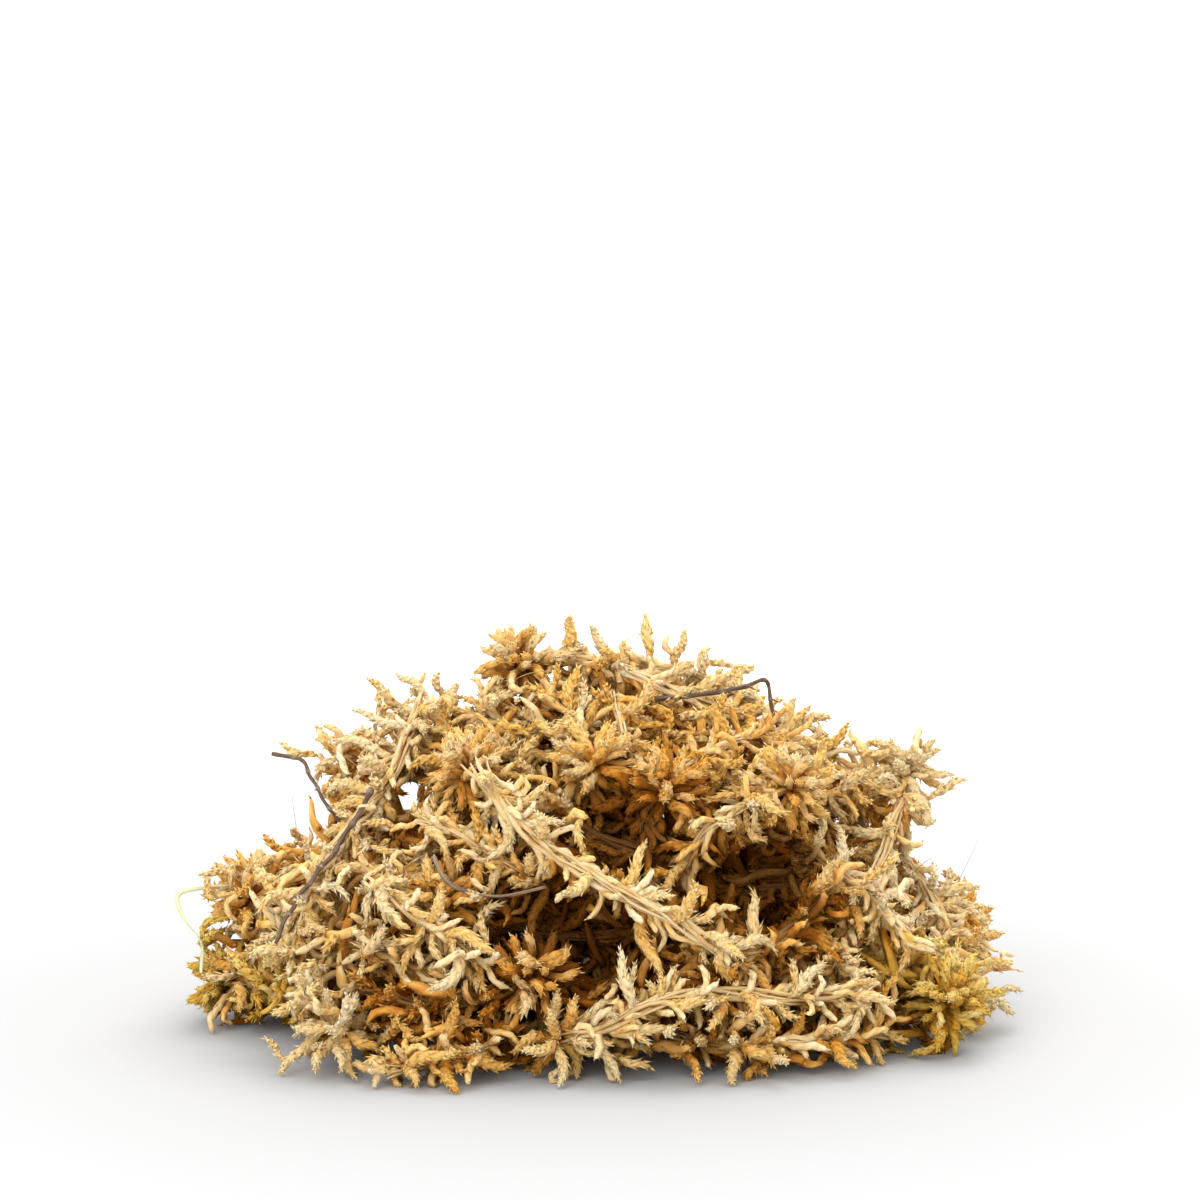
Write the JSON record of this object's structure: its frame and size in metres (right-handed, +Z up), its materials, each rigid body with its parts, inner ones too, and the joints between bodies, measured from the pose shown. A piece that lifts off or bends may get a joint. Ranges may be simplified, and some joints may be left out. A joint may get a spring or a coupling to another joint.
{
  "type": "sphagnum moss clump",
  "caption": "Loose clump of dried long-fibre sphagnum moss: fibrous stems with leafy branches and bushy heads heaped over one another, with a few stray twigs.",
  "frame": {"origin": "on the table plane, under the middle of the clump's bounding box", "axes": "+Z up, +X along the clump's longest side (to the viewer's right from the front), +Y away from the front"},
  "size_m": [0.1446, 0.1366, 0.07],
  "materials": {
    "golden": "dry, matte, slightly translucent leaves",
    "straw": "dry, matte, slightly translucent leaves",
    "amber": "dry, matte leaves",
    "olive": "dry, matte leaves",
    "bark": "dry twig, slightly glossy",
    "sedge": "dry grass blade, slightly glossy",
    "lichen": "dry matte thread"
  },
  "bodies": {
    "root": {"crown_ridge": "golden", "left_shoulder": "straw", "diagonal": "straw", "front_rope": "straw", "right_tower": "straw", "right_crown_head": "golden", "centre_head": "golden", "centre_right_head": "amber", "upper_left_head": "golden", "right_low_head": "olive", "front_left_head": "amber", "left_outer_head": "golden", "left_lower": "straw", "crown_back": "straw", "centre_drape": "amber", "left_crossbar": "straw", "left_mid": "golden", "left_mid_rope": "straw", "left_outer_low": "olive", "front_left_low": "golden", "front_right_low": "golden", "right_outer": "straw", "right_mid": "straw", "right_centre_amber": "amber", "centre_deep": "amber", "right_deep": "amber", "centre_upper": "golden", "mid_left_hang": "golden", "front_left_mid": "straw", "right_shoulder": "golden", "back_crest": "golden", "back_left_shoulder": "golden", "back_right_shoulder": "straw", "back_drape_left": "straw", "back_drape_middle": "golden", "back_drape_right": "amber", "back_low_left": "straw", "back_low_middle": "golden", "back_low_right": "olive", "left_side": "amber", "right_side": "golden", "back_mid_left": "amber", "back_mid_right": "straw", "bed_middle": "amber", "bed_left": "amber", "bed_right": "amber", "inner_low": "amber", "inner_back": "amber", "inner_middle": "amber", "inner_crest": "amber", "twig_long": "bark", "twig_out": "bark", "twig_bent": "bark", "twig_short": "bark", "filament": "lichen", "sedge_blade": "sedge"}
  },
  "joints": []
}
